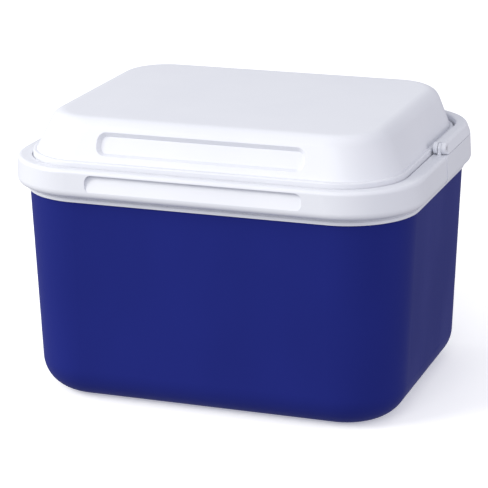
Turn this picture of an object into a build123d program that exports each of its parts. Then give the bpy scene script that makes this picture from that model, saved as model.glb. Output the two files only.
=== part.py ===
"""Vaccine carrier: a blue insulated box with a white collar, a lift-off domed lid and a swing handle.

Millimetres, +Z up, X across the front, front face towards -Y.
The origin is the centre of the flat base, on the surface that the box stands on.
"""

import os
from dataclasses import dataclass, replace
from math import atan2, cos, degrees, radians, sin

from build123d import *

# ---------------------------------------------------------------- driving dimensions
# Outer shell
BODY_WIDTH = 350.0            # across X, at the ledge under the collar
BODY_DEPTH = 268.0            # along Y, at the ledge
BODY_CORNER = 61.0            # corner radius at the ledge
LEDGE_Z = 185.0               # height of the ledge where the wall steps in to the neck
SIDE_TAPER = 7.8              # each side draws in by this much from ledge to base
END_TAPER = 6.6               # front and back draw in by this much
BASE_CORNER = 53.0            # corner radius at the base
BASE_ROUND = 30.0             # rounding between wall and base
SHELL_WALL = 3.0
NECK_STEP = 2.0               # the neck is this much inside the wall
NECK_TOP_Z = 210.6
LEDGE_ROUND = 1.0

# Cavity and insulation
INSULATED_WALL = 25.0         # shell, foam and liner together, at the mouth
CAVITY_FLOOR_Z = 30.0
LINER_WALL = 2.0
LINER_TAPER = 7.0             # each side of the cavity draws in by this much to the floor
LINER_CORNER = 34.0           # inside corner radius at the mouth
LINER_FLOOR_ROUND = 6.0
LINER_FLANGE = 15.0           # width of the liner's top flange
FOAM_GAP = 0.2                # between foam and the plastic around it

# Collar
COLLAR_TOP_Z = 216.6
COLLAR_WALL = 3.0
FRONT_OVERHANG = 13.5         # collar beyond the body, at the foot of its upright face
SIDE_OVERHANG = 8.3
REAR_OVERHANG = 2.0
COLLAR_CORNER = 68.0
COLLAR_DRAFT = 1.2            # the upright face leans in by this much to the top
COLLAR_PLATE = 5.5            # thickness of the top plate
COLLAR_ROUND = 3.4            # rounding of the top edge, in front of the handle
COLLAR_REAR_ROUND = 0.5       # the same under the handle, so that the two meet flush
FACE_BOTTOM_Z = 194.0         # below this the collar draws in to its lip
FLARE_ROUND = 6.0             # rounding between the face and the flare under it
LIP_GAP = 0.2                 # between the lip and the shell's ledge
LIP_HEIGHT = 2.8
LIP_OVERHANG = 1.5            # lip beyond the body
LIP_WALL = 1.8
GROOVE_HEIGHT = 0.8           # fine groove above the lip
GROOVE_DEPTH = 0.8
SEAT_DEPTH = 2.0              # recess in the plate that takes the lid's flange
MOUTH_GAP = 0.6               # collar edge back from the liner's inside
SKIRT_WALL = 2.2              # locating skirt round the shell's neck
SKIRT_BOTTOM_Z = 194.0
SKIRT_GAP = 0.15
REAR_STEP = 0.8               # the back half of the band is this much thicker
REAR_STEP_Y = -6.0

# Finger recesses
COLLAR_GRIP_LENGTH = 193.0
COLLAR_GRIP_LOW_Z = 198.0     # where the recess runs out on the face
COLLAR_GRIP_HIGH_Z = 213.2
COLLAR_GRIP_DEPTH = 6.5       # at the top
COLLAR_GRIP_CORNER = 6.0
LID_GRIP_LENGTH = 186.0
LID_GRIP_LOW = 5.0            # above the bottom of the lid's slope
LID_GRIP_HIGH = 24.0
LID_GRIP_DEPTH = 4.2
LID_GRIP_RUN = 3.0            # its walls slope in by this much to the floor
LID_GRIP_CORNER = 8.0
GRIP_BACKING = 1.6            # wall left behind a recess

# Lid
LID_INSET_SIDE = 15.3         # flange edge inside the collar's outside, at the sides
LID_INSET_END = 10.5          # and at the front and back
FLANGE_CORNER = 57.0
LID_EDGE_GAP = 1.2            # between the flange and the wall of its seat
LID_REST_GAP = 0.6            # between the flange and the seat
SLOPE_FOOT_Z = 221.6          # where the slope rises from the flange
FLANGE_SIDE = 3.5             # width of the flange outside the slope, at the sides
FLANGE_END = 5.0              # and at the front and back
SLOPE_FOOT_CORNER = 51.0
LID_TOP_Z = 255.5
SLOPE_SIDE = 15.0             # the slope leans in by this much at the sides
SLOPE_FRONT = 14.5
SLOPE_REAR = 2.5
LID_TOP_CORNER = 44.0
LID_TOP_ROUND = 14.0
LID_WALL = 3.0
FLANGE_ROUND = 1.5

# Lid underside
PLUG_BOTTOM_Z = 190.0
PLUG_GAP = 1.6                # between the plug and the liner at the mouth
PLUG_TAPER = 2.0
PLUG_ROUND = 3.0
PANEL_WALL = 2.0
PANEL_FIT = 0.3
SEAL_WIDTH = 3.0
SEAL_INSET = 1.5              # from the flange edge
SEAL_HEIGHT = 2.4
SEAL_GAP = 0.3                # between the seal and the collar's seat
SEAL_FIT = 0.1
SCREW_RADIUS = 1.5
SCREW_HEAD_RADIUS = 3.0
SCREW_HEAD_HEIGHT = 1.2
SCREW_LENGTH = 9.0
SCREW_FIT = 0.05
BOSS_RADIUS = 4.0
BOSS_LENGTH = 12.0
SCREW_INSET = 7.2             # from the slope's foot to the screw line
SCREW_SPACING = 90.0          # along the front and the back

# Handle
HANDLE_LIFT = 0.4             # between the handle and the collar's top
HANDLE_BAR_HEIGHT = 9.2
HANDLE_DRAFT = 3.6            # its outside leans in by this much to the top
KNUCKLE_RADIUS = 5.2
KNUCKLE_ROUND = 0.9
HANDLE_LID_GAP = 1.5          # between the handle and the lid's flange
HANDLE_ROUND = 3.2            # rounding of its outer top edge
HANDLE_BEVEL = 1.0            # of its inner top edge
HANDLE_FOOT_ROUND = 0.4
LUG_WALL = 2.8
LUG_SIDE_GAP = 0.4
LUG_RADIUS = 4.5
PIN_RADIUS = 2.0
PIN_FIT = 0.05
PIN_END_GAP = 0.25
PIN_CHAMFER = 0.3

# Ice packs, pad
PACK_LENGTH = 163.0
PACK_HEIGHT = 94.0
PACK_THICKNESS = 33.0
PACK_CORNER = 12.0
PACK_ROUND = 6.0
PACK_WALL_GAP = 1.5           # between a pack and the liner at the floor
PACK_NOTCH_LENGTH = 32.0
PACK_NOTCH_DEPTH = 17.0
PACK_NECK_RADIUS = 9.0
PACK_NECK_HEIGHT = 11.0
CAP_RADIUS = 12.5
CAP_WALL = 1.8
CAP_GAP = 0.05                # between cap and neck, all round
CAP_SEAT_GAP = 0.4            # between cap and pack
PAD_THICKNESS = 25.0
PAD_SIDE_GAP = 2.5
PAD_ROUND = 2.0

# Modelling
OVERCUT = 1.0                 # cutting blocks reach this far past a face
LEVEL = 0.01                  # edges within this of a height count as level with it


# ---------------------------------------------------------------- outlines and blocks
@dataclass(frozen=True)
class Outline:
    """A rounded rectangle seen from above: its sides, front, back and corner radius."""

    side: float
    front: float
    rear: float
    corner: float

    def grown(self, by):
        """The same outline moved out by a distance, or in by a negative one."""
        return Outline(self.side + by, self.front + by, self.rear + by, self.corner + by)

    def face(self, z):
        """The outline as a flat face at a height."""
        centre_y = (self.rear - self.front) / 2
        flat = RectangleRounded(2 * self.side, self.front + self.rear, self.corner)
        return Pos(0, centre_y, z) * flat

    def prism(self, low, high):
        """A straight block between two heights."""
        return extrude(self.face(low), high - low)


def between(lower, upper, share):
    """The outline part of the way from a lower one to an upper one."""
    def mix(a, b):
        return a + (b - a) * share
    return Outline(mix(lower.side, upper.side), mix(lower.front, upper.front),
                   mix(lower.rear, upper.rear), mix(lower.corner, upper.corner))


def tapered(lower, upper, low, high):
    """A block whose outline changes evenly from one height to another."""
    return loft([lower.face(low), upper.face(high)], ruled=True)


def ring(outer, inner, low, high):
    """A straight frame between two outlines."""
    return outer.prism(low, high) - inner.prism(low, high)


def edges_at(solid, z):
    """The edges of a solid that lie level at a height."""
    return solid.edges().filter_by_position(Axis.Z, z - LEVEL, z + LEVEL)


def half_space(y_from):
    """Everything behind a plane across the box, as a large block."""
    reach = 2 * (BODY_WIDTH + BODY_DEPTH)
    return Pos(0, y_from, 0) * Box(reach, reach, reach, align=(Align.CENTER, Align.MIN, Align.CENTER))


def along_x(radius, start, end, y, z):
    """A round bar along X between two places."""
    bar = Cylinder(radius, end - start, align=(Align.CENTER, Align.CENTER, Align.MIN))
    return Pos(start, y, z) * Rot(0, 90, 0) * bar


# ---------------------------------------------------------------- derived outlines
body_top = Outline(BODY_WIDTH / 2, BODY_DEPTH / 2, BODY_DEPTH / 2, BODY_CORNER)
body_base = Outline(BODY_WIDTH / 2 - SIDE_TAPER, BODY_DEPTH / 2 - END_TAPER,
                    BODY_DEPTH / 2 - END_TAPER, BASE_CORNER)
neck = body_top.grown(-NECK_STEP)
mouth = replace(body_top.grown(-INSULATED_WALL), corner=LINER_CORNER)
cavity_floor = replace(mouth.grown(-LINER_TAPER), corner=LINER_CORNER - LINER_TAPER)
collar_outside = Outline(body_top.side + SIDE_OVERHANG, body_top.front + FRONT_OVERHANG,
                         body_top.rear + REAR_OVERHANG, COLLAR_CORNER)
collar_rim = collar_outside.grown(-COLLAR_DRAFT)
lip = body_top.grown(LIP_OVERHANG)
groove = lip.grown(-GROOVE_DEPTH)
flange = Outline(collar_outside.side - LID_INSET_SIDE, collar_outside.front - LID_INSET_END,
                 collar_outside.rear - LID_INSET_END, FLANGE_CORNER)
seat = flange.grown(LID_EDGE_GAP)
slope_foot = Outline(flange.side - FLANGE_SIDE, flange.front - FLANGE_END,
                     flange.rear - FLANGE_END, SLOPE_FOOT_CORNER)
lid_top = Outline(slope_foot.side - SLOPE_SIDE, slope_foot.front - SLOPE_FRONT,
                  slope_foot.rear - SLOPE_REAR, LID_TOP_CORNER)
plug_top = mouth.grown(-PLUG_GAP)
plug_bottom = plug_top.grown(-PLUG_TAPER)
handle_outside = collar_rim.grown(REAR_STEP)
handle_inside = flange.grown(HANDLE_LID_GAP)

LIP_BOTTOM_Z = LEDGE_Z + LIP_GAP
LIP_TOP_Z = LIP_BOTTOM_Z + LIP_HEIGHT
FLARE_BOTTOM_Z = LIP_TOP_Z + GROOVE_HEIGHT
SEAT_Z = COLLAR_TOP_Z - SEAT_DEPTH
FLANGE_BOTTOM_Z = SEAT_Z + LID_REST_GAP
PLATE_BOTTOM_Z = COLLAR_TOP_Z - COLLAR_PLATE
LINER_TOP_Z = NECK_TOP_Z
PANEL_BOTTOM_Z = FLANGE_BOTTOM_Z
PANEL_TOP_Z = PANEL_BOTTOM_Z + PANEL_WALL
HANDLE_BOTTOM_Z = COLLAR_TOP_Z + HANDLE_LIFT
PIVOT_Z = HANDLE_BOTTOM_Z + KNUCKLE_RADIUS
PIVOT_Y = 0.0


def shell_cavity(gap):
    """The space inside the outer shell, drawn in by a gap."""
    floor = SHELL_WALL + gap
    lower = between(body_base, neck, floor / NECK_TOP_Z).grown(-SHELL_WALL - gap)
    upper = neck.grown(-SHELL_WALL - gap)
    space = tapered(lower, upper, floor, NECK_TOP_Z)
    return fillet(edges_at(space, floor), BASE_ROUND - SHELL_WALL)


def make_outer_shell():
    """Tapered tub with a flat base, and a neck that steps in above the ledge."""
    tub = tapered(body_base, body_top, 0, LEDGE_Z)
    tub = fillet(edges_at(tub, 0), BASE_ROUND)
    tub = fillet(edges_at(tub, LEDGE_Z), LEDGE_ROUND)
    tub += neck.prism(LEDGE_Z - SHELL_WALL, NECK_TOP_Z)
    return tub - shell_cavity(0)


def liner_block(gap, top_z):
    """The outside of the liner's tub, grown by a gap."""
    wall = LINER_WALL + gap
    bottom = CAVITY_FLOOR_Z - wall
    block = tapered(cavity_floor.grown(wall), mouth.grown(wall), bottom, top_z)
    return fillet(edges_at(block, bottom), LINER_FLOOR_ROUND + wall)


def make_inner_liner():
    """White tub inside the foam, with a flange that the collar holds down."""
    tub = liner_block(0, LINER_TOP_Z)
    tub += mouth.grown(LINER_FLANGE).prism(LINER_TOP_Z - LINER_WALL, LINER_TOP_Z)
    inside = tapered(cavity_floor, mouth, CAVITY_FLOOR_Z, LINER_TOP_Z)
    inside = fillet(edges_at(inside, CAVITY_FLOOR_Z), LINER_FLOOR_ROUND)
    return tub - inside


def make_body_foam():
    """Rigid foam that fills the space between shell and liner."""
    top = LINER_TOP_Z - LINER_WALL - FOAM_GAP
    foam = shell_cavity(FOAM_GAP) - body_top.prism(top, NECK_TOP_Z + OVERCUT)
    return foam - liner_block(FOAM_GAP, LINER_TOP_Z)


def collar_block(step, top_round):
    """The collar's outside as a solid block: lip, groove, flare and leaning face, grown by a step."""
    foot, rim = collar_outside.grown(step), collar_rim.grown(step)
    face = tapered(foot, rim, FACE_BOTTOM_Z, COLLAR_TOP_Z)
    flare = tapered(groove, foot, FLARE_BOTTOM_Z, FACE_BOTTOM_Z)
    block = face + flare
    block = fillet(edges_at(block, COLLAR_TOP_Z), top_round)
    block = fillet(edges_at(block, FACE_BOTTOM_Z), FLARE_ROUND)
    return block + groove.prism(LIP_TOP_Z, FLARE_BOTTOM_Z) + lip.prism(LIP_BOTTOM_Z, LIP_TOP_Z)


def collar_hollow():
    """The space inside the collar's outer wall, open at the lip."""
    upper = collar_rim.grown(-COLLAR_WALL)
    flare = tapered(lip.grown(-LIP_WALL), upper, LIP_TOP_Z, FACE_BOTTOM_Z + COLLAR_WALL / 2)
    space = flare + upper.prism(FACE_BOTTOM_Z + COLLAR_WALL / 2, PLATE_BOTTOM_Z)
    return space + lip.grown(-LIP_WALL).prism(LIP_BOTTOM_Z, LIP_TOP_Z)


def collar_grip():
    """The finger recess in the collar: deepest under the top edge, running out at the bottom."""
    front, height = -collar_outside.front, COLLAR_GRIP_HIGH_Z - COLLAR_GRIP_LOW_Z
    plane = Plane((0, front, COLLAR_GRIP_LOW_Z + height / 2), x_dir=(1, 0, 0), z_dir=(0, -1, 0))
    window = plane * RectangleRounded(COLLAR_GRIP_LENGTH, height, COLLAR_GRIP_CORNER)
    run_out = COLLAR_GRIP_LOW_Z - OVERCUT * height / COLLAR_GRIP_DEPTH
    side = Polyline((front - OVERCUT, run_out), (front + COLLAR_GRIP_DEPTH, COLLAR_GRIP_HIGH_Z),
                    (front - OVERCUT, COLLAR_GRIP_HIGH_Z), close=True)
    wedge = extrude(Plane.YZ * make_face(side), amount=COLLAR_GRIP_LENGTH, both=True)
    return extrude(window, amount=COLLAR_GRIP_DEPTH, both=True) & wedge


def grip_backing():
    """Solid block from the collar's face to the neck, behind the finger recess."""
    low = COLLAR_GRIP_LOW_Z - GRIP_BACKING
    block = Box(COLLAR_GRIP_LENGTH + 2 * GRIP_BACKING, FRONT_OVERHANG + NECK_STEP,
                PLATE_BOTTOM_Z - low, align=(Align.CENTER, Align.MIN, Align.MIN))
    return Pos(0, -collar_outside.front, low) * block


def make_collar():
    """Band round the top of the box, with the lid's seat, a finger recess and two handle lugs."""
    band = collar_block(0, COLLAR_ROUND)
    band += collar_block(REAR_STEP, COLLAR_REAR_ROUND) & half_space(REAR_STEP_Y)
    band -= seat.prism(SEAT_Z, COLLAR_TOP_Z)
    band -= collar_hollow() - grip_backing()
    band += ring(neck.grown(SKIRT_GAP + SKIRT_WALL), neck.grown(SKIRT_GAP),
                 SKIRT_BOTTOM_Z, PLATE_BOTTOM_Z)
    band -= neck.grown(SKIRT_GAP).prism(LIP_BOTTOM_Z, PLATE_BOTTOM_Z)
    band -= mouth.grown(MOUTH_GAP).prism(PLATE_BOTTOM_Z, SEAT_Z)
    band -= collar_grip()
    for x in (-lug_centre_x(), lug_centre_x()):
        band += make_lug(x)
    return band


def lug_centre_x():
    """Middle of the handle's arm across X, where its lug stands."""
    return (handle_outside.side - HANDLE_DRAFT / 2 + handle_inside.side) / 2


def make_lug(x):
    """A lug with a rounded top and a hole for the handle's pin."""
    start = x - LUG_WALL / 2
    foot = Pos(x, PIVOT_Y, SEAT_Z) * Box(LUG_WALL, 2 * LUG_RADIUS, PIVOT_Z - SEAT_Z,
                                         align=(Align.CENTER, Align.CENTER, Align.MIN))
    lug = foot + along_x(LUG_RADIUS, start, start + LUG_WALL, PIVOT_Y, PIVOT_Z)
    return lug - along_x(PIN_RADIUS + PIN_FIT, start - OVERCUT, start + LUG_WALL + OVERCUT,
                         PIVOT_Y, PIVOT_Z)


def handle_outline(z):
    """The handle's leaning outside at a height."""
    lean = HANDLE_DRAFT * (z - HANDLE_BOTTOM_Z) / HANDLE_BAR_HEIGHT
    return handle_outside.grown(-lean)


def make_handle():
    """U-shaped handle laid back round the lid, with a forked knuckle over each lug."""
    top = HANDLE_BOTTOM_Z + HANDLE_BAR_HEIGHT
    loop = tapered(handle_outside, handle_outline(top), HANDLE_BOTTOM_Z, top)
    loop = fillet(edges_at(loop, top), HANDLE_ROUND)
    loop = fillet(edges_at(loop, HANDLE_BOTTOM_Z), HANDLE_FOOT_ROUND)
    loop -= handle_inside.prism(HANDLE_BOTTOM_Z, top)
    loop -= tapered(handle_inside, handle_inside.grown(HANDLE_BEVEL), top - HANDLE_BEVEL, top)
    loop &= half_space(PIVOT_Y)
    for side in (-1, 1):
        loop = add_handle_end(loop, side)
    return loop


def handle_end_span(side):
    """The two X values between which a handle's forked end lies, the lower first."""
    inner, outer = side * handle_inside.side, side * handle_outline(PIVOT_Z).side
    return min(inner, outer), max(inner, outer)


def add_handle_end(loop, side):
    """Put a round knuckle on an arm's end, and cut the fork and the pin's hole."""
    start, end = handle_end_span(side)
    knuckle = along_x(KNUCKLE_RADIUS, start, end, PIVOT_Y, PIVOT_Z)
    loop += fillet(knuckle.edges().filter_by(GeomType.CIRCLE), KNUCKLE_ROUND)
    reach = 4 * KNUCKLE_RADIUS
    root = LUG_RADIUS + 2 * LUG_SIDE_GAP
    cut = Box(LUG_WALL + 2 * LUG_SIDE_GAP, reach, reach,
              align=(Align.CENTER, Align.MAX, Align.CENTER))
    loop -= Pos(side * lug_centre_x(), PIVOT_Y + root, PIVOT_Z) * cut
    return loop - along_x(PIN_RADIUS + PIN_FIT, start - OVERCUT, end + OVERCUT, PIVOT_Y, PIVOT_Z)


def make_handle_pin(side):
    """Pivot pin through one forked end and its lug."""
    start, end = handle_end_span(side)
    pin = along_x(PIN_RADIUS, start + PIN_END_GAP, end - PIN_END_GAP, PIVOT_Y, PIVOT_Z)
    return chamfer(pin.edges().filter_by(GeomType.CIRCLE), PIN_CHAMFER)


# ---------------------------------------------------------------- lid
def dome(inset, low, top):
    """The lid's sloped dome drawn in by an inset, from its foot up to a level top."""
    share = (top - SLOPE_FOOT_Z) / (LID_TOP_Z - SLOPE_FOOT_Z)
    upper = between(slope_foot, lid_top, share).grown(-inset)
    block = tapered(slope_foot.grown(-inset), upper, SLOPE_FOOT_Z, top)
    block = fillet(edges_at(block, top), LID_TOP_ROUND - inset)
    return block + slope_foot.grown(-inset).prism(low, SLOPE_FOOT_Z)


def lid_grip():
    """The plane and the outline of the recess in the lid's front slope."""
    rise = LID_TOP_Z - SLOPE_FOOT_Z
    back = slope_foot.front - lid_top.front
    lean = degrees(atan2(back, rise))
    middle = (LID_GRIP_LOW + LID_GRIP_HIGH) / 2
    height = (LID_GRIP_HIGH - LID_GRIP_LOW) / cos(radians(lean))
    y = -slope_foot.front + back * middle / rise
    normal = (0, -cos(radians(lean)), sin(radians(lean)))
    plane = Plane((0, y, SLOPE_FOOT_Z + middle), x_dir=(1, 0, 0), z_dir=normal)
    flat = RectangleRounded(LID_GRIP_LENGTH, height, LID_GRIP_CORNER)
    return plane, flat


def make_lid_cover():
    """Outer skin of the lid: flange, slopes, rounded top, finger recess and screw bosses."""
    cover = flange.prism(FLANGE_BOTTOM_Z, SLOPE_FOOT_Z)
    cover = fillet(edges_at(cover, SLOPE_FOOT_Z), FLANGE_ROUND)
    cover += dome(0, FLANGE_BOTTOM_Z, LID_TOP_Z)
    inside = dome(LID_WALL, FLANGE_BOTTOM_Z, LID_TOP_Z - LID_WALL)
    plane, flat = lid_grip()
    backing = extrude(plane * offset(flat, GRIP_BACKING), amount=-(LID_GRIP_DEPTH + GRIP_BACKING))
    floor = plane.offset(-LID_GRIP_DEPTH) * offset(flat, -LID_GRIP_RUN)
    pocket = loft([plane * flat, floor], ruled=True) + extrude(plane * flat, amount=OVERCUT)
    posts = Part() + [boss_at(x, y) for x, y in screw_places()]
    cover -= inside - (backing + posts)
    cover -= pocket
    cover -= seal_groove()
    holes = Part() + [hole_at(x, y) for x, y in screw_places()]
    return cover - holes


def screw_places():
    """Where the panel's screws go: three along each long side and one at each end."""
    line = slope_foot.grown(-SCREW_INSET)
    rows = [(x, y) for y in (-line.front, line.rear) for x in (-SCREW_SPACING, 0, SCREW_SPACING)]
    return rows + [(-line.side, 0), (line.side, 0)]


def boss_at(x, y):
    """A post on the lid's skin that takes one screw."""
    return Pos(x, y, PANEL_TOP_Z) * Cylinder(BOSS_RADIUS, BOSS_LENGTH,
                                             align=(Align.CENTER, Align.CENTER, Align.MIN))


def hole_at(x, y):
    """The hole for one screw's thread."""
    return Pos(x, y, PANEL_BOTTOM_Z) * Cylinder(SCREW_RADIUS + SCREW_FIT, SCREW_LENGTH + OVERCUT,
                                                align=(Align.CENTER, Align.CENTER, Align.MIN))


def seal_groove():
    """The groove under the flange that holds the seal."""
    outer = flange.grown(-SEAL_INSET + SEAL_FIT)
    inner = flange.grown(-SEAL_INSET - SEAL_WIDTH - SEAL_FIT)
    return ring(outer, inner, FLANGE_BOTTOM_Z, SEAT_Z + SEAL_GAP + SEAL_HEIGHT + SEAL_FIT)


def make_lid_seal():
    """Soft ring that closes the gap between lid and collar."""
    outer = flange.grown(-SEAL_INSET)
    low = SEAT_Z + SEAL_GAP
    return ring(outer, outer.grown(-SEAL_WIDTH), low, low + SEAL_HEIGHT)


def make_lid_inner_panel():
    """Panel under the lid, with a hollow plug that fills the mouth of the box."""
    edge = slope_foot.grown(-LID_WALL - PANEL_FIT)
    panel = edge.prism(PANEL_BOTTOM_Z, PANEL_TOP_Z)
    plug = tapered(plug_bottom, plug_top, PLUG_BOTTOM_Z, PANEL_BOTTOM_Z)
    panel += fillet(edges_at(plug, PLUG_BOTTOM_Z), PLUG_ROUND)
    panel -= plug_space(0)
    for x, y in screw_places():
        panel -= Pos(x, y, PANEL_BOTTOM_Z) * Cylinder(SCREW_RADIUS + SCREW_FIT, PANEL_WALL,
                                                      align=(Align.CENTER, Align.CENTER, Align.MIN))
        panel -= Pos(x, y, PANEL_BOTTOM_Z) * Cylinder(SCREW_HEAD_RADIUS + SCREW_FIT,
                                                      SCREW_HEAD_HEIGHT,
                                                      align=(Align.CENTER, Align.CENTER, Align.MIN))
    return panel


def plug_space(gap):
    """The hollow inside the plug, drawn in by a gap."""
    wall = PANEL_WALL + gap
    return tapered(plug_bottom.grown(-wall), plug_top.grown(-wall),
                   PLUG_BOTTOM_Z + wall, PANEL_TOP_Z)


def make_lid_foam():
    """Foam that fills the dome and the plug."""
    upper = dome(LID_WALL + FOAM_GAP, PANEL_TOP_Z + FOAM_GAP, LID_TOP_Z - LID_WALL - FOAM_GAP)
    foam = upper + plug_space(FOAM_GAP)
    foam += plug_top.grown(-PANEL_WALL - FOAM_GAP).prism(PANEL_TOP_Z, PANEL_TOP_Z + 2 * FOAM_GAP)
    plane, flat = lid_grip()
    room = GRIP_BACKING + FOAM_GAP
    foam -= extrude(plane * offset(flat, room), amount=LID_GRIP_DEPTH + room, both=True)
    for x, y in screw_places():
        foam -= Pos(x, y, PANEL_TOP_Z) * Cylinder(BOSS_RADIUS + FOAM_GAP, BOSS_LENGTH + FOAM_GAP,
                                                  align=(Align.CENTER, Align.CENTER, Align.MIN))
    return foam


def make_lid_screws():
    """Self-tapping screws that hold the panel to the cover."""
    screws = []
    for x, y in screw_places():
        head = Cylinder(SCREW_HEAD_RADIUS, SCREW_HEAD_HEIGHT - SCREW_FIT,
                        align=(Align.CENTER, Align.CENTER, Align.MIN))
        shank = Cylinder(SCREW_RADIUS, SCREW_LENGTH, align=(Align.CENTER, Align.CENTER, Align.MIN))
        screws.append(Pos(x, y, PANEL_BOTTOM_Z) * (head + shank))
    return screws


# ---------------------------------------------------------------- inside the box
def make_pack():
    """One ice pack standing on its long edge, with a neck in a corner notch."""
    outline = RectangleRounded(PACK_LENGTH, PACK_HEIGHT, PACK_CORNER)
    upright = Plane((0, 0, PACK_HEIGHT / 2), x_dir=(1, 0, 0), z_dir=(0, -1, 0))
    block = extrude(upright * outline, amount=PACK_THICKNESS / 2, both=True)
    corner = Pos(PACK_LENGTH / 2, 0, PACK_HEIGHT)
    notch = Box(PACK_NOTCH_LENGTH, PACK_THICKNESS, PACK_NOTCH_DEPTH,
                align=(Align.MAX, Align.CENTER, Align.MAX))
    block -= corner * notch
    rims = block.edges().filter_by(lambda e: abs(abs(e.center().Y) - PACK_THICKNESS / 2) < LEVEL)
    block = fillet(rims, PACK_ROUND)
    neck_bar = Cylinder(PACK_NECK_RADIUS, PACK_NECK_HEIGHT,
                        align=(Align.CENTER, Align.CENTER, Align.MIN))
    return block + neck_place() * neck_bar


def neck_place():
    """Foot of the pack's neck, in the middle of its notch."""
    return Pos((PACK_LENGTH - PACK_NOTCH_LENGTH) / 2, 0, PACK_HEIGHT - PACK_NOTCH_DEPTH)


def make_cap():
    """Screw cap over a pack's neck."""
    low = CAP_SEAT_GAP
    high = PACK_NECK_HEIGHT + CAP_GAP + CAP_WALL
    align = (Align.CENTER, Align.CENTER, Align.MIN)
    cap = Pos(0, 0, low) * Cylinder(CAP_RADIUS, high - low, align=align)
    cap -= Cylinder(PACK_NECK_RADIUS + CAP_GAP, PACK_NECK_HEIGHT + CAP_GAP, align=align)
    return neck_place() * cap


def pack_places():
    """Where each ice pack stands: one against each wall of the cavity."""
    off_wall = PACK_WALL_GAP + PACK_THICKNESS / 2
    x, y = cavity_floor.side - off_wall, cavity_floor.front - off_wall
    return {
        "front": Pos(0, -y, CAVITY_FLOOR_Z),
        "right": Pos(x, 0, CAVITY_FLOOR_Z) * Rot(0, 0, 90),
        "rear": Pos(0, y, CAVITY_FLOOR_Z) * Rot(0, 0, 180),
        "left": Pos(-x, 0, CAVITY_FLOOR_Z) * Rot(0, 0, 270),
    }


def make_foam_pad():
    """Soft pad that lies on the ice packs and keeps the vials off the lid."""
    low = CAVITY_FLOOR_Z + PACK_HEIGHT
    share = (low - CAVITY_FLOOR_Z) / (LINER_TOP_Z - CAVITY_FLOOR_Z)
    plan = between(cavity_floor, mouth, share).grown(-PAD_SIDE_GAP)
    pad = plan.prism(low, low + PAD_THICKNESS)
    return fillet(edges_at(pad, low + PAD_THICKNESS), PAD_ROUND)


# ---------------------------------------------------------------- build
def build_parts():
    """Every node of the carrier by name."""
    parts = {
        "outer_shell": make_outer_shell(),
        "body_foam": make_body_foam(),
        "inner_liner": make_inner_liner(),
        "collar": make_collar(),
        "handle": make_handle(),
        "handle_pin_left": make_handle_pin(-1),
        "handle_pin_right": make_handle_pin(1),
        "lid_cover": make_lid_cover(),
        "lid_foam": make_lid_foam(),
        "lid_inner_panel": make_lid_inner_panel(),
        "lid_seal": make_lid_seal(),
        "lid_screws": Compound(children=make_lid_screws()),
        "foam_pad": make_foam_pad(),
    }
    pack, cap = make_pack(), make_cap()
    for side, place in pack_places().items():
        parts[f"ice_pack_{side}"] = place * pack
        parts[f"ice_pack_cap_{side}"] = place * cap
    return parts


def main():
    """Write one STEP file for each node."""
    os.makedirs("parts", exist_ok=True)
    for name, shape in build_parts().items():
        export_step(shape, f"parts/{name}.step")


if __name__ == "__main__":
    main()
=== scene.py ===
"""Studio scene of an insulated carrier box: blue tub, white collar, lift-off lid and swing handle.

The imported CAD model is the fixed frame. This script dresses its nodes, makes the soft pad and the
ribbed caps of the ice packs, and sets the floor, the lights and the camera. Lengths are in metres.
"""

from __future__ import annotations

import logging
import math
from dataclasses import dataclass
from enum import Enum
from typing import Any, Dict, List, Optional, Sequence, Tuple, Union

import bpy
import numpy as np
from mathutils import Matrix, Vector

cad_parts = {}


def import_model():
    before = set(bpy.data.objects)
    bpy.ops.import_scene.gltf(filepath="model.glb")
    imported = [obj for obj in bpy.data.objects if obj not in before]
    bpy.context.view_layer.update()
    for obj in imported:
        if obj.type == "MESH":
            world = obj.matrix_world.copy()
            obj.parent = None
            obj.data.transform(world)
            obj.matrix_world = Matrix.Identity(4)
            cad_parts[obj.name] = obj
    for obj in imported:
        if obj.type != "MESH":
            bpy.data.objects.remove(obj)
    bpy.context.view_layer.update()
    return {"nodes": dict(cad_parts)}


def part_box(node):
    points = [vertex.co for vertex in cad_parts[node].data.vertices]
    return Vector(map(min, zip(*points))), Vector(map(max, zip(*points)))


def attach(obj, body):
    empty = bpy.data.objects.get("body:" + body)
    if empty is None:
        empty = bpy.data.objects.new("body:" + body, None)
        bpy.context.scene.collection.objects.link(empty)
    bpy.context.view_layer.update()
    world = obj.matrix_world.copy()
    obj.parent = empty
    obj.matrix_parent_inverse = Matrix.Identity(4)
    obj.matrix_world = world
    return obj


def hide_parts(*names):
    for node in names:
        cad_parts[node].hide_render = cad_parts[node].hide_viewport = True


log = logging.getLogger("carrier")

Colour = Tuple[float, float, float]
Point = Tuple[float, float, float]
MM = 0.001


# ---------------------------------------------------------------- shader maths
class Wire:
    """A shader socket that can be used in arithmetic; each operation adds one Math node."""

    def __init__(self, graph: "Graph", socket: bpy.types.NodeSocket) -> None:
        """Keep the socket and the graph that it belongs to."""
        self.graph = graph
        self.socket = socket

    def __add__(self, other: "Value") -> "Wire":
        """Sum."""
        return self.graph.maths("ADD", self, other)

    def __radd__(self, other: "Value") -> "Wire":
        """Sum with the number first."""
        return self.graph.maths("ADD", other, self)

    def __sub__(self, other: "Value") -> "Wire":
        """Difference."""
        return self.graph.maths("SUBTRACT", self, other)

    def __rsub__(self, other: "Value") -> "Wire":
        """Difference with the number first."""
        return self.graph.maths("SUBTRACT", other, self)

    def __mul__(self, other: "Value") -> "Wire":
        """Product."""
        return self.graph.maths("MULTIPLY", self, other)

    def __rmul__(self, other: "Value") -> "Wire":
        """Product with the number first."""
        return self.graph.maths("MULTIPLY", other, self)


Value = Union[Wire, float]


class Rise(Enum):
    """How a band goes from 0 to 1."""

    SMOOTH = "SMOOTHSTEP"
    STRAIGHT = "LINEAR"


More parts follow.
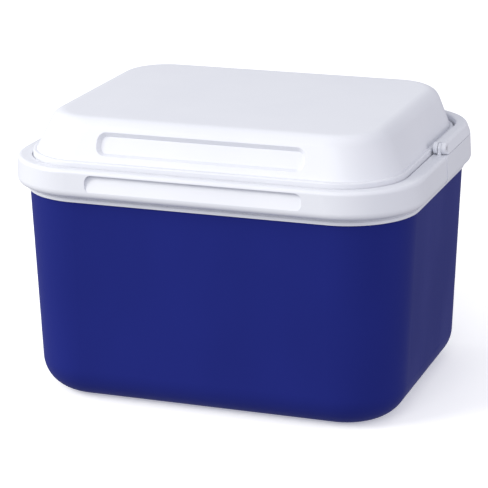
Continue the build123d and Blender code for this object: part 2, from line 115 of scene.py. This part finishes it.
class Cell(Enum):
    """What a cell pattern measures the distance to."""

    CENTRE = "F1"
    EDGE = "DISTANCE_TO_EDGE"


class Graph:
    """The node tree of a material or of the room, with short ways to add nodes to it."""

    def __init__(self, owner: Union[bpy.types.Material, bpy.types.World]) -> None:
        """Empty the owner's node tree and keep both.

        Args:
            owner: The material or world that the nodes belong to.
        """
        self.owner = owner
        owner.use_nodes = True
        self.tree = owner.node_tree
        self.tree.nodes.clear()

    @classmethod
    def of_material(cls, name: str) -> "Graph":
        """Start a new material with an empty tree."""
        return cls(bpy.data.materials.new(name))

    def node(self, kind: str, settings: Optional[Dict[str, Any]] = None,
             inputs: Optional[Dict[Union[str, int], Any]] = None) -> bpy.types.Node:
        """Add a node.

        Args:
            kind: The node's type without the "ShaderNode" in front.
            settings: The node's properties, which are set first.
            inputs: Values, wires or sockets for its sockets, by name or number.

        Returns:
            The new node.
        """
        made = self.tree.nodes.new("ShaderNode" + kind)
        for key, value in (settings or {}).items():
            setattr(made, key, value)
        for key, value in (inputs or {}).items():
            if isinstance(value, Wire):
                self.tree.links.new(value.socket, made.inputs[key])
            elif isinstance(value, bpy.types.NodeSocket):
                self.tree.links.new(value, made.inputs[key])
            else:
                made.inputs[key].default_value = value
        return made

    def maths(self, operation: str, first: Value, second: Value = 0.0) -> Wire:
        """Add one Math node and return its result."""
        made = self.node("Math", {"operation": operation}, {0: first, 1: second})
        return Wire(self, made.outputs[0])

    def place(self) -> Wire:
        """The point's place on the object, in metres."""
        return Wire(self, self.node("TexCoord").outputs["Object"])

    def axes(self) -> List[Wire]:
        """The point's X, Y and Z as three wires."""
        split = self.node("SeparateXYZ", inputs={0: self.place()})
        return [Wire(self, split.outputs[i]) for i in range(3)]

    def noise(self, size: float, detail: float = 3.0, stretch: Point = (1, 1, 1),
              roughness: float = 0.5) -> Wire:
        """Soft noise between about 0.25 and 0.75.

        Args:
            size: How far apart its blobs are, in metres.
            detail: Number of finer layers.
            stretch: Scale of the noise along each axis, 1 where it isn't stretched.
            roughness: How strong the finer layers are.

        Returns:
            The noise's value.
        """
        turned = self.node("Mapping", inputs={"Vector": self.place(), "Scale": stretch})
        made = self.node("TexNoise", inputs={"Vector": turned.outputs[0], "Scale": 1.0 / size,
                                             "Detail": detail, "Roughness": roughness})
        return Wire(self, made.outputs[0])

    def cells(self, size: float, measured: Cell = Cell.CENTRE) -> Wire:
        """Distance to the nearest cell centre or cell edge, in cells."""
        made = self.node("TexVoronoi", {"feature": measured.value},
                         {"Vector": self.place(), "Scale": 1.0 / size})
        return Wire(self, made.outputs["Distance"])

    def band(self, value: Value, low: float, high: float, rise: Rise = Rise.SMOOTH) -> Wire:
        """0 under the low value, 1 over the high one and a rise between.

        Args:
            value: The value to read.
            low: Where the rise starts.
            high: Where it ends.
            rise: Its form.

        Returns:
            A value from 0 to 1.
        """
        made = self.node("MapRange", {"interpolation_type": rise.value},
                         {"Value": value, "From Min": low, "From Max": high})
        return Wire(self, made.outputs[0])

    def mix(self, amount: Value, one: Any, two: Any) -> Wire:
        """Colour between two colours.

        Args:
            amount: 0 for the first colour, 1 for the second.
            one: Colour or wire.
            two: Colour or wire.

        Returns:
            The mixed colour.
        """
        made = self.node("Mix", {"data_type": "RGBA"},
                         {0: amount, 6: self.with_alpha(one), 7: self.with_alpha(two)})
        return Wire(self, made.outputs[2])

    @staticmethod
    def with_alpha(colour: Any) -> Any:
        """A plain colour with its fourth number, and a wire as it is."""
        return colour if isinstance(colour, Wire) else (*colour, 1.0)

    def bump(self, height: Value, depth: float, under: Optional[Wire] = None) -> Wire:
        """Normal of a surface with a height pattern.

        Args:
            height: The pattern, about 0 to 1.
            depth: Its depth in metres.
            under: The normal of a coarser bump under it.

        Returns:
            The normal.
        """
        inputs: Dict[Union[str, int], Any] = {"Height": height, "Distance": depth, "Strength": 1.0}
        if under is not None:
            inputs["Normal"] = under
        return Wire(self, self.node("Bump", inputs=inputs).outputs[0])

    def surface(self, **sockets: Any) -> bpy.types.Material:
        """Close the tree with a Principled shader and return the material.

        Args:
            sockets: Socket names with underscores for spaces, and their values.

        Returns:
            The finished material.
        """
        named = {key.replace("_", " "): value for key, value in sockets.items()}
        shader = self.node("BsdfPrincipled", inputs=named)
        self.node("OutputMaterial", inputs={0: shader.outputs[0]})
        return self.owner

    def room(self, colour: Wire) -> bpy.types.World:
        """Close the tree with a background and return the world.

        Args:
            colour: The light's colour.

        Returns:
            The finished world.
        """
        light = self.node("Background", inputs={"Color": colour})
        self.node("OutputWorld", inputs={0: light.outputs[0]})
        return self.owner


# ---------------------------------------------------------------- finishes
class Touch(Enum):
    """How a moulded surface was textured in the tool."""

    SATIN = "satin"
    FINE_GRAIN = "fine_grain"


@dataclass(frozen=True)
class MouldedPlastic:
    """Injection-moulded plastic with faint flow marks, hairline scratches and a scuffed foot."""

    name: str
    colour: Colour
    shade: Colour
    roughness: float
    specular: float = 0.5
    touch: Touch = Touch.SATIN
    scuff_height: float = 0.0
    scuff: Colour = (0.5, 0.5, 0.5)

    def material(self) -> bpy.types.Material:
        """Build the node material.

        Colour: the base colour, with cloudy flow marks towards the shade colour.
        Roughness: base plus cloud and hairline scratches. Bump: peel, plus grain where grained.

        Returns:
            The finished material.
        """
        g = Graph.of_material(self.name)
        cloud = g.band(g.noise(90 * MM, 2.0, (1, 1, 0.6)), 0.35, 0.7)
        hair = g.band(g.noise(5 * MM, 2.0, (1, 1, 0.04), 0.7), 0.62, 0.75)
        colour = g.mix(cloud * 0.5, self.colour, self.shade)
        roughness = self.roughness + cloud * 0.05 + hair * 0.06
        if self.scuff_height:
            low = 1 - g.band(g.axes()[2], 0.0, self.scuff_height)
            rubbed = low * g.band(g.noise(2.5 * MM, 4.0, (1, 1, 3), 0.7), 0.52, 0.66)
            colour = g.mix(rubbed * 0.5, colour, self.scuff)
            roughness = roughness + rubbed * 0.2
        normal = g.bump(g.noise(7 * MM, 1.0), 0.03 * MM)
        if self.touch is Touch.FINE_GRAIN:
            normal = g.bump(g.noise(0.9 * MM, 2.0), 0.02 * MM, normal)
        return g.surface(Base_Color=colour, Roughness=roughness, Normal=normal,
                         Specular_IOR_Level=self.specular)


@dataclass(frozen=True)
class Foam:
    """Open or closed cell foam: a cell pattern in the colour and the height."""

    name: str
    colour: Colour
    cell: Colour
    cell_size: float
    depth: float

    def material(self) -> bpy.types.Material:
        """Build the node material from two sizes of cells and a soft cloud.

        Returns:
            The finished material.
        """
        g = Graph.of_material(self.name)
        walls = g.band(g.cells(self.cell_size, Cell.EDGE), 0.0, 0.22)
        coarse = g.cells(self.cell_size * 3.1)
        cloud = g.noise(30 * MM, 3.0)
        colour = g.mix(walls * 0.75, self.colour, self.cell)
        colour = g.mix(g.band(cloud, 0.4, 0.75) * 0.3, colour, self.cell)
        normal = g.bump(coarse, self.depth, g.bump(1 - walls, self.depth))
        return g.surface(Base_Color=colour, Roughness=0.85 + cloud * 0.1, Normal=normal,
                         Specular_IOR_Level=0.2)


@dataclass(frozen=True)
class Steel:
    """Drawn or turned steel with fine lines and a little tarnish."""

    name: str
    colour: Colour
    roughness: float

    def material(self) -> bpy.types.Material:
        """Build the node material: lines along X in the roughness, tarnish in the colour.

        Returns:
            The finished material.
        """
        g = Graph.of_material(self.name)
        lines = g.noise(0.25 * MM, 2.0, (0.05, 1, 1))
        stain = g.band(g.noise(4 * MM, 4.0), 0.5, 0.75)
        colour = g.mix(stain * 0.4, self.colour, tuple(c * 0.6 for c in self.colour))
        return g.surface(Base_Color=colour, Roughness=self.roughness + lines * 0.2 + stain * 0.15,
                         Metallic=1.0, Normal=g.bump(lines, 0.01 * MM))


@dataclass(frozen=True)
class Rubber:
    """Soft extruded rubber with a dusty bloom."""

    name: str
    colour: Colour
    bloom: Colour

    def material(self) -> bpy.types.Material:
        """Build the node material: bloom by noise, with a fine pebble.

        Returns:
            The finished material.
        """
        g = Graph.of_material(self.name)
        dusty = g.band(g.noise(6 * MM, 5.0, roughness=0.65), 0.42, 0.7)
        return g.surface(Base_Color=g.mix(dusty * 0.7, self.colour, self.bloom),
                         Roughness=0.6 + dusty * 0.25, Specular_IOR_Level=0.35,
                         Normal=g.bump(g.noise(0.5 * MM, 2.0), 0.02 * MM))


@dataclass(frozen=True)
class PackPlastic:
    """Thin blown plastic with frozen water behind it: frosty patches over a pale blue."""

    name: str
    colour: Colour
    frost: Colour

    def material(self) -> bpy.types.Material:
        """Build the node material: frost by noise and cells, with soft ripples.

        Returns:
            The finished material.
        """
        g = Graph.of_material(self.name)
        patches = g.band(g.noise(22 * MM, 5.0, roughness=0.6), 0.4, 0.65)
        crystals = g.band(g.cells(3 * MM), 0.1, 0.7)
        frost = patches * (0.6 + crystals * 0.4)
        normal = g.bump(g.noise(14 * MM, 2.0), 0.2 * MM)
        return g.surface(Base_Color=g.mix(frost, self.colour, self.frost),
                         Roughness=0.22 + frost * 0.3, Normal=normal,
                         Subsurface_Weight=0.25, Subsurface_Scale=0.01)


BLUE = MouldedPlastic("blue_tub_plastic", (0.0138, 0.0208, 0.182), (0.0116, 0.0176, 0.156), 0.46,
                      specular=0.05, touch=Touch.FINE_GRAIN, scuff_height=14 * MM,
                      scuff=(0.10, 0.12, 0.30))
WHITE = MouldedPlastic("white_shell_plastic", (0.735, 0.748, 0.800), (0.700, 0.714, 0.770), 0.36,
                       specular=0.4)
LINER = MouldedPlastic("liner_plastic", (0.74, 0.755, 0.78), (0.69, 0.705, 0.735), 0.28)
CAP_BLUE = MouldedPlastic("cap_plastic", (0.03, 0.13, 0.50), (0.02, 0.09, 0.38), 0.4,
                          specular=0.4, touch=Touch.FINE_GRAIN)
FILLING = Foam("filling_foam", (0.82, 0.74, 0.50), (0.66, 0.56, 0.33), 1.4 * MM, 0.25 * MM)
PAD_FOAM = Foam("pad_foam", (0.34, 0.37, 0.42), (0.20, 0.22, 0.26), 0.9 * MM, 0.3 * MM)
STEEL = Steel("pin_steel", (0.60, 0.60, 0.61), 0.28)
SEAL = Rubber("seal_rubber", (0.36, 0.37, 0.39), (0.52, 0.53, 0.55))
PACK = PackPlastic("pack_plastic", (0.40, 0.62, 0.82), (0.80, 0.88, 0.93))

Finish = Union[MouldedPlastic, Foam, Steel, Rubber, PackPlastic]


class Wardrobe:
    """Makes each finish's material once and puts it on pieces and CAD nodes."""

    def __init__(self, nodes: Dict[str, bpy.types.Object]) -> None:
        """Keep the CAD nodes by name."""
        self.nodes = nodes
        self.made: Dict[str, bpy.types.Material] = {}

    def wear(self, piece: bpy.types.Object, finish: Finish) -> None:
        """Put a finish on one object.

        Args:
            piece: The object.
            finish: Its finish.
        """
        if finish.name not in self.made:
            self.made[finish.name] = finish.material()
        material = self.made[finish.name]
        if not piece.material_slots:
            piece.data.materials.append(material)
        for place in piece.material_slots:
            place.material = material

    def dress(self, finish: Finish, *names: str) -> None:
        """Put a finish on CAD nodes.

        Args:
            finish: The finish.
            names: The nodes.
        """
        for name in names:
            self.wear(self.nodes[name], finish)
            log.info("%s: %s", name, finish.name)


# ---------------------------------------------------------------- mesh pieces
def grid_mesh(name: str, points: np.ndarray) -> bpy.types.Object:
    """A closed surface from a grid of points whose columns go round and whose rows end in poles.

    Args:
        name: The object's name.
        points: Array of rows x columns x 3. The last column joins the first. The first and the
            last row are each filled with one flat face.

    Returns:
        The new object, at the origin.
    """
    rows, cols = points.shape[:2]
    index = np.arange(rows * cols).reshape(rows, cols)
    here, after = index[:-1], index[1:]
    quads = np.stack([here, np.roll(here, -1, 1), np.roll(after, -1, 1), after], -1)
    faces = quads.reshape(-1, 4).tolist() + [index[0, ::-1].tolist(), index[-1].tolist()]
    mesh = bpy.data.meshes.new(name)
    mesh.from_pydata(points.reshape(-1, 3).tolist(), [], faces)
    mesh.polygons.foreach_set("use_smooth", np.ones(len(faces), dtype=bool))
    mesh.update()
    piece = bpy.data.objects.new(name, mesh)
    bpy.context.collection.objects.link(piece)
    return piece


def rounded_outline(half_x: np.ndarray, half_y: np.ndarray, corner: np.ndarray,
                    turn: np.ndarray) -> Tuple[np.ndarray, np.ndarray]:
    """Points on rounded rectangles.

    A corner's centre is the half size less the radius, and a point is the centre of its quarter
    plus the radius times (cos turn, sin turn), so straight runs lie between two quarters.

    Args:
        half_x: Half sizes along X, one for each row.
        half_y: Half sizes along Y.
        corner: Corner radii.
        turn: Angles round the outline, one for each column.

    Returns:
        X and Y as arrays of rows x columns.
    """
    side_x, side_y = np.sign(np.cos(turn)), np.sign(np.sin(turn))
    x = side_x * (half_x - corner)[:, None] + corner[:, None] * np.cos(turn)
    y = side_y * (half_y - corner)[:, None] + corner[:, None] * np.sin(turn)
    return x, y


@dataclass
class SoftPad:
    """The soft pad that lies on the ice packs: rounded rims and a slightly crowned top."""

    wardrobe: Wardrobe
    rim: float = 5 * MM
    corner: float = 26 * MM
    crown: float = 1.2 * MM
    waist: float = 0.8 * MM
    inset: float = 0.6 * MM
    least_corner: float = 0.2 * MM
    flat_share: float = 0.98
    flat_rows: int = 14
    rim_rows: int = 8
    columns: int = 160

    def build(self) -> bpy.types.Object:
        """Make the pad in the box that its CAD node fills.

        Profile: from the middle of the underside out to the rim, round it by quarter circles, up
        the side, and back to the middle of the top, which rises by the crown times cosine of the
        share from middle to rim. The sides pull in by a sine along the height.

        Returns:
            The pad's object.
        """
        low, high = (np.array(v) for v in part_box("foam_pad"))
        half = (high - low) / 2 - self.inset
        centre = (high + low) / 2
        reach = min(half[0], half[1])
        height = 2 * half[2] - self.crown
        spread = np.linspace(self.flat_share, 0.0, self.flat_rows)
        arc = np.linspace(0.0, np.pi / 2, self.rim_rows)
        flat = self.rim + spread * (reach - self.rim)
        crown = self.crown * np.cos((1 - spread) * np.pi / 2)
        inset = np.concatenate([flat, self.rim * (1 - np.sin(arc[1:])),
                                self.rim * (1 - np.cos(arc)), flat[-2::-1]])
        rise = np.concatenate([0 * flat, self.rim * (1 - np.cos(arc[1:])),
                               height - self.rim * (1 - np.sin(arc)), height + crown[-2::-1]])
        waist = self.waist * np.sin(np.clip(rise / height, 0, 1) * np.pi)
        inset = inset + np.where(inset < self.rim, waist, 0.0)
        half_x, half_y = half[0] - inset, half[1] - inset
        corner = np.clip(self.corner - inset, self.least_corner, None)
        corner = np.minimum(corner, np.minimum(half_x, half_y) * self.flat_share)
        turn = (np.arange(self.columns) + 0.5) * 2 * np.pi / self.columns
        x, y = rounded_outline(half_x, half_y, corner, turn)
        z = np.broadcast_to((low[2] + self.inset + rise)[:, None], x.shape)
        pad = grid_mesh("soft_pad", np.stack([x + centre[0], y + centre[1], z], -1))
        self.wardrobe.wear(pad, PAD_FOAM)
        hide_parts("foam_pad")
        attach(pad, "box")
        return pad


@dataclass
class RibbedCap:
    """A screw cap with gripping ribs, in place of a plain CAD cap."""

    wardrobe: Wardrobe
    side: str
    ribs: int = 36
    rib_depth: float = 0.45 * MM
    edge: float = 0.9 * MM
    foot: float = 0.3 * MM
    dish: Tuple[float, float, float] = (0.75, 0.7, 0.1)
    dish_depth: float = 0.5 * MM
    edge_rows: int = 6
    columns: int = 288

    def build(self) -> bpy.types.Object:
        """Make the cap in the box that its CAD node fills.

        Radius: the cap's radius, less the rib depth times half of 1 minus a sharpened cosine of
        the rib count times the angle. The ribs fade out at the top edge, which is rounded, and the
        top inside it is a shallow dish, whose radii are shares of the cap's.

        Returns:
            The cap's object.
        """
        low, high = (np.array(v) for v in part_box("ice_pack_cap_" + self.side))
        centre, radius = (low + high) / 2, (high[0] - low[0]) / 2
        height = high[2] - low[2]
        arc = np.linspace(0, np.pi / 2, self.edge_rows)
        rise = np.concatenate([[0.0, 0.0, height * 0.5],
                               height - self.edge + self.edge * np.sin(arc)])
        inset = np.concatenate([[self.foot, 0.0, 0.0], self.edge * (1 - np.cos(arc))])
        fade = np.concatenate([[1.0, 1.0, 1.0], np.cos(arc) ** 0.5])
        dish = np.array(self.dish) * radius
        rise = np.concatenate([rise, height - np.array([0.0, 1.0, 1.0]) * self.dish_depth])
        inset = np.concatenate([inset, radius - dish])
        fade = np.concatenate([fade, np.zeros(3)])
        turn = np.arange(self.columns) * 2 * np.pi / self.columns
        wave = (0.5 - 0.5 * np.cos(self.ribs * turn)) ** 2
        r = (radius - inset)[:, None] - self.rib_depth * fade[:, None] * wave
        x, y = centre[0] + r * np.cos(turn), centre[1] + r * np.sin(turn)
        z = np.broadcast_to((low[2] + rise)[:, None], x.shape)
        cap = grid_mesh("pack_cap_" + self.side, np.stack([x, y, z], -1))
        self.wardrobe.wear(cap, CAP_BLUE)
        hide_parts("ice_pack_cap_" + self.side)
        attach(cap, "box")
        return cap


# ---------------------------------------------------------------- sub-assemblies
@dataclass
class InsulatedBox:
    """Tub, filling, liner, collar and what stands in the cavity."""

    wardrobe: Wardrobe
    sides: Tuple[str, ...] = ("front", "right", "rear", "left")

    def build(self) -> None:
        """Dress the box's nodes and make its own pieces."""
        self.wardrobe.dress(BLUE, "outer_shell")
        self.wardrobe.dress(FILLING, "body_foam")
        self.wardrobe.dress(LINER, "inner_liner")
        self.wardrobe.dress(WHITE, "collar")
        log.info("pad: %s", SoftPad(self.wardrobe).build().name)
        for side in self.sides:
            self.wardrobe.dress(PACK, "ice_pack_" + side)
            log.info("cap: %s", RibbedCap(self.wardrobe, side).build().name)


@dataclass
class LiftOffLid:
    """Domed cover, its filling, the inner panel, the seal and the screws."""

    wardrobe: Wardrobe

    def build(self) -> None:
        """Dress the lid's nodes."""
        self.wardrobe.dress(WHITE, "lid_cover")
        self.wardrobe.dress(FILLING, "lid_foam")
        self.wardrobe.dress(LINER, "lid_inner_panel")
        self.wardrobe.dress(SEAL, "lid_seal")
        self.wardrobe.dress(STEEL, "lid_screws")


@dataclass
class SwingHandle:
    """The handle and its two pins."""

    wardrobe: Wardrobe

    def build(self) -> None:
        """Dress the handle's nodes."""
        self.wardrobe.dress(WHITE, "handle")
        self.wardrobe.dress(STEEL, "handle_pin_left", "handle_pin_right")


# ---------------------------------------------------------------- studio
@dataclass(frozen=True)
class Lamp:
    """A soft rectangular light aimed at the middle of the object."""

    name: str
    at: Point
    size: Tuple[float, float]
    watts: float
    colour: Colour = (1.0, 1.0, 1.0)

    def light(self, target: Vector) -> None:
        """Hang the lamp and turn it to the target.

        Args:
            target: The point that it faces.
        """
        data = bpy.data.lights.new(self.name, "AREA")
        data.shape = "RECTANGLE"
        data.size, data.size_y = self.size
        data.energy = self.watts
        data.color = self.colour
        lamp = bpy.data.objects.new(self.name, data)
        lamp.location = self.at
        lamp.rotation_euler = (target - Vector(self.at)).to_track_quat("-Z", "Y").to_euler()
        bpy.context.collection.objects.link(lamp)


@dataclass(frozen=True)
class Studio:
    """Pale floor, soft lights and the camera."""

    floor_size: float = 40.0
    floor_colour: Colour = (0.93, 0.93, 0.93)
    floor_glow: float = 0.35
    sky: Colour = (0.63, 0.637, 0.685)
    ground: Colour = (0.486, 0.487, 0.53)
    horizon: float = 0.15
    azimuth: float = 19.527
    elevation: float = 17.618
    roll: float = -0.505
    distance: float = 2.0035
    aim_height: float = 0.09267
    lens: float = 163.0
    shift: Tuple[float, float] = (-0.0131, 0.0575)
    lamps: Tuple[Lamp, ...] = (
        Lamp("key_lamp", (-1.9, -1.7, 1.6), (1.4, 1.4), 46.0, (1.0, 0.985, 0.90)),
        Lamp("front_lamp", (0.1, -2.6, 1.5), (1.4, 1.4), 19.5),
        Lamp("left_lamp", (-2.4, 0.0, 1.0), (1.2, 1.2), 15.5),
        Lamp("right_lamp", (2.4, -0.3, 0.9), (1.2, 1.2), 10.8, (1.0, 0.94, 0.94)),
    )

    def floor(self) -> None:
        """Lay the floor: one large square at the height of the base."""
        half = self.floor_size / 2
        corners = [(-half, -half, 0), (half, -half, 0), (half, half, 0), (-half, half, 0)]
        mesh = bpy.data.meshes.new("floor")
        mesh.from_pydata(corners, [], [(0, 1, 2, 3)])
        floor = bpy.data.objects.new("floor", mesh)
        bpy.context.collection.objects.link(floor)
        g = Graph.of_material("floor_paper")
        tone = g.noise(400 * MM, 2.0)
        mesh.materials.append(g.surface(
            Base_Color=g.mix(tone * 0.1, self.floor_colour, (0.90, 0.90, 0.90)),
            Roughness=0.9 + tone * 0.05, Specular_IOR_Level=0.1,
            Emission_Color=(1.0, 1.0, 1.0, 1.0), Emission_Strength=self.floor_glow))
        floor.visible_diffuse = floor.visible_glossy = floor.visible_shadow = False

    def world(self) -> None:
        """Give the room a pale light that is one tone from above and another from below."""
        g = Graph(bpy.data.worlds.new("studio_room"))
        split = g.node("SeparateXYZ", inputs={0: g.node("TexCoord").outputs["Generated"]})
        share = g.band(Wire(g, split.outputs["Z"]), -self.horizon, self.horizon, Rise.STRAIGHT)
        bpy.context.scene.world = g.room(g.mix(share, self.ground, self.sky))

    def camera(self) -> None:
        """Stand the camera off along its azimuth and elevation, rolled and shifted."""
        a, e = math.radians(self.azimuth), math.radians(self.elevation)
        back = Vector((math.sin(a) * math.cos(e), -math.cos(a) * math.cos(e), math.sin(e)))
        side = Vector((0, 0, 1)).cross(back).normalized()
        up = back.cross(side)
        axes = Matrix((side, up, back)).transposed().to_4x4()
        place = Matrix.Translation(Vector((0, 0, self.aim_height)) + back * self.distance)
        data = bpy.data.cameras.new("camera")
        data.lens, data.sensor_width = self.lens, 36.0
        data.shift_x, data.shift_y = self.shift
        data.clip_end = 100.0
        camera = bpy.data.objects.new("camera", data)
        camera.matrix_world = place @ axes @ Matrix.Rotation(math.radians(self.roll), 4, "Z")
        bpy.context.collection.objects.link(camera)
        bpy.context.scene.camera = camera

    def build(self) -> None:
        """Set up floor, room, lamps and camera."""
        self.floor()
        self.world()
        for lamp in self.lamps:
            lamp.light(Vector((0, 0, self.aim_height)))
        self.camera()
        bpy.context.scene.view_settings.view_transform = "Standard"
        log.info("studio: %d lamps", len(self.lamps))


def main() -> None:
    """Load the frame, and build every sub-assembly and the studio."""
    logging.basicConfig(level=logging.INFO, format="%(name)s: %(message)s")
    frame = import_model()
    wardrobe = Wardrobe(frame["nodes"])
    for assembly in (InsulatedBox(wardrobe), LiftOffLid(wardrobe), SwingHandle(wardrobe)):
        assembly.build()
    Studio().build()


if __name__ == "__main__":
    main()
